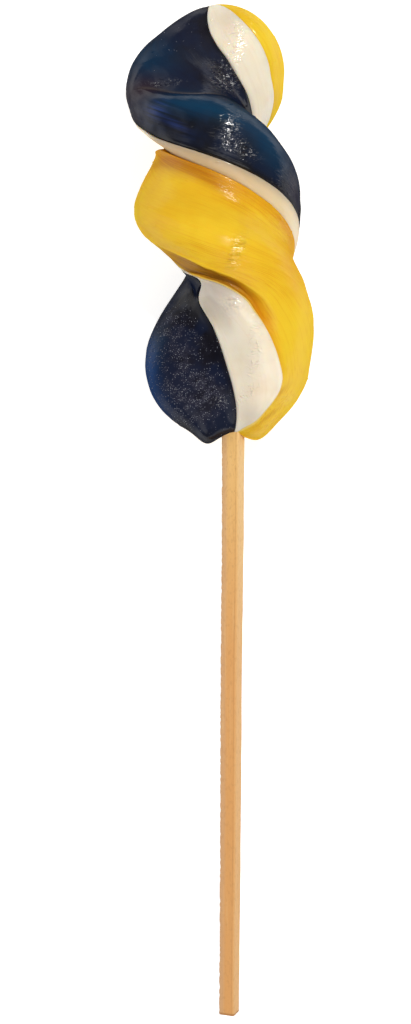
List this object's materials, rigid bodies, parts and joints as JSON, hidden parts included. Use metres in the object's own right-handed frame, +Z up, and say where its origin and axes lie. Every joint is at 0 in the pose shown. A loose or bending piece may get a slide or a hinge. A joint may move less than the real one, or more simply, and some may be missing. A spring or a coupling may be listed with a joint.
{
  "type": "swirl lollipop",
  "caption": "Hand-twisted hard candy on a square wooden stick: a left-hand swirl of dark blue, cream white and yellow ropes, lying on its back.",
  "frame": {"origin": "on the surface the lollipop lies on, under the middle of its outline", "axes": "+Y runs from the stick's free end toward the candy's tip, +Z is up, out of the side that shows, and +X is to the right seen from above with the tip away"},
  "size_m": [0.037, 0.201, 0.0331],
  "materials": {
    "blue_candy": "glossy boiled sugar, very dark navy, teal where it is thin",
    "white_candy": "glossy pulled sugar, warm cream white",
    "yellow_candy": "glossy pulled sugar, warm yellow",
    "stick_wood": "plain pale wood, fine straight grain"
  },
  "bodies": {
    "root": {"blue_strand": "blue_candy", "white_strand": "white_candy", "yellow_strand": "yellow_candy", "stick": "stick_wood"}
  },
  "joints": []
}
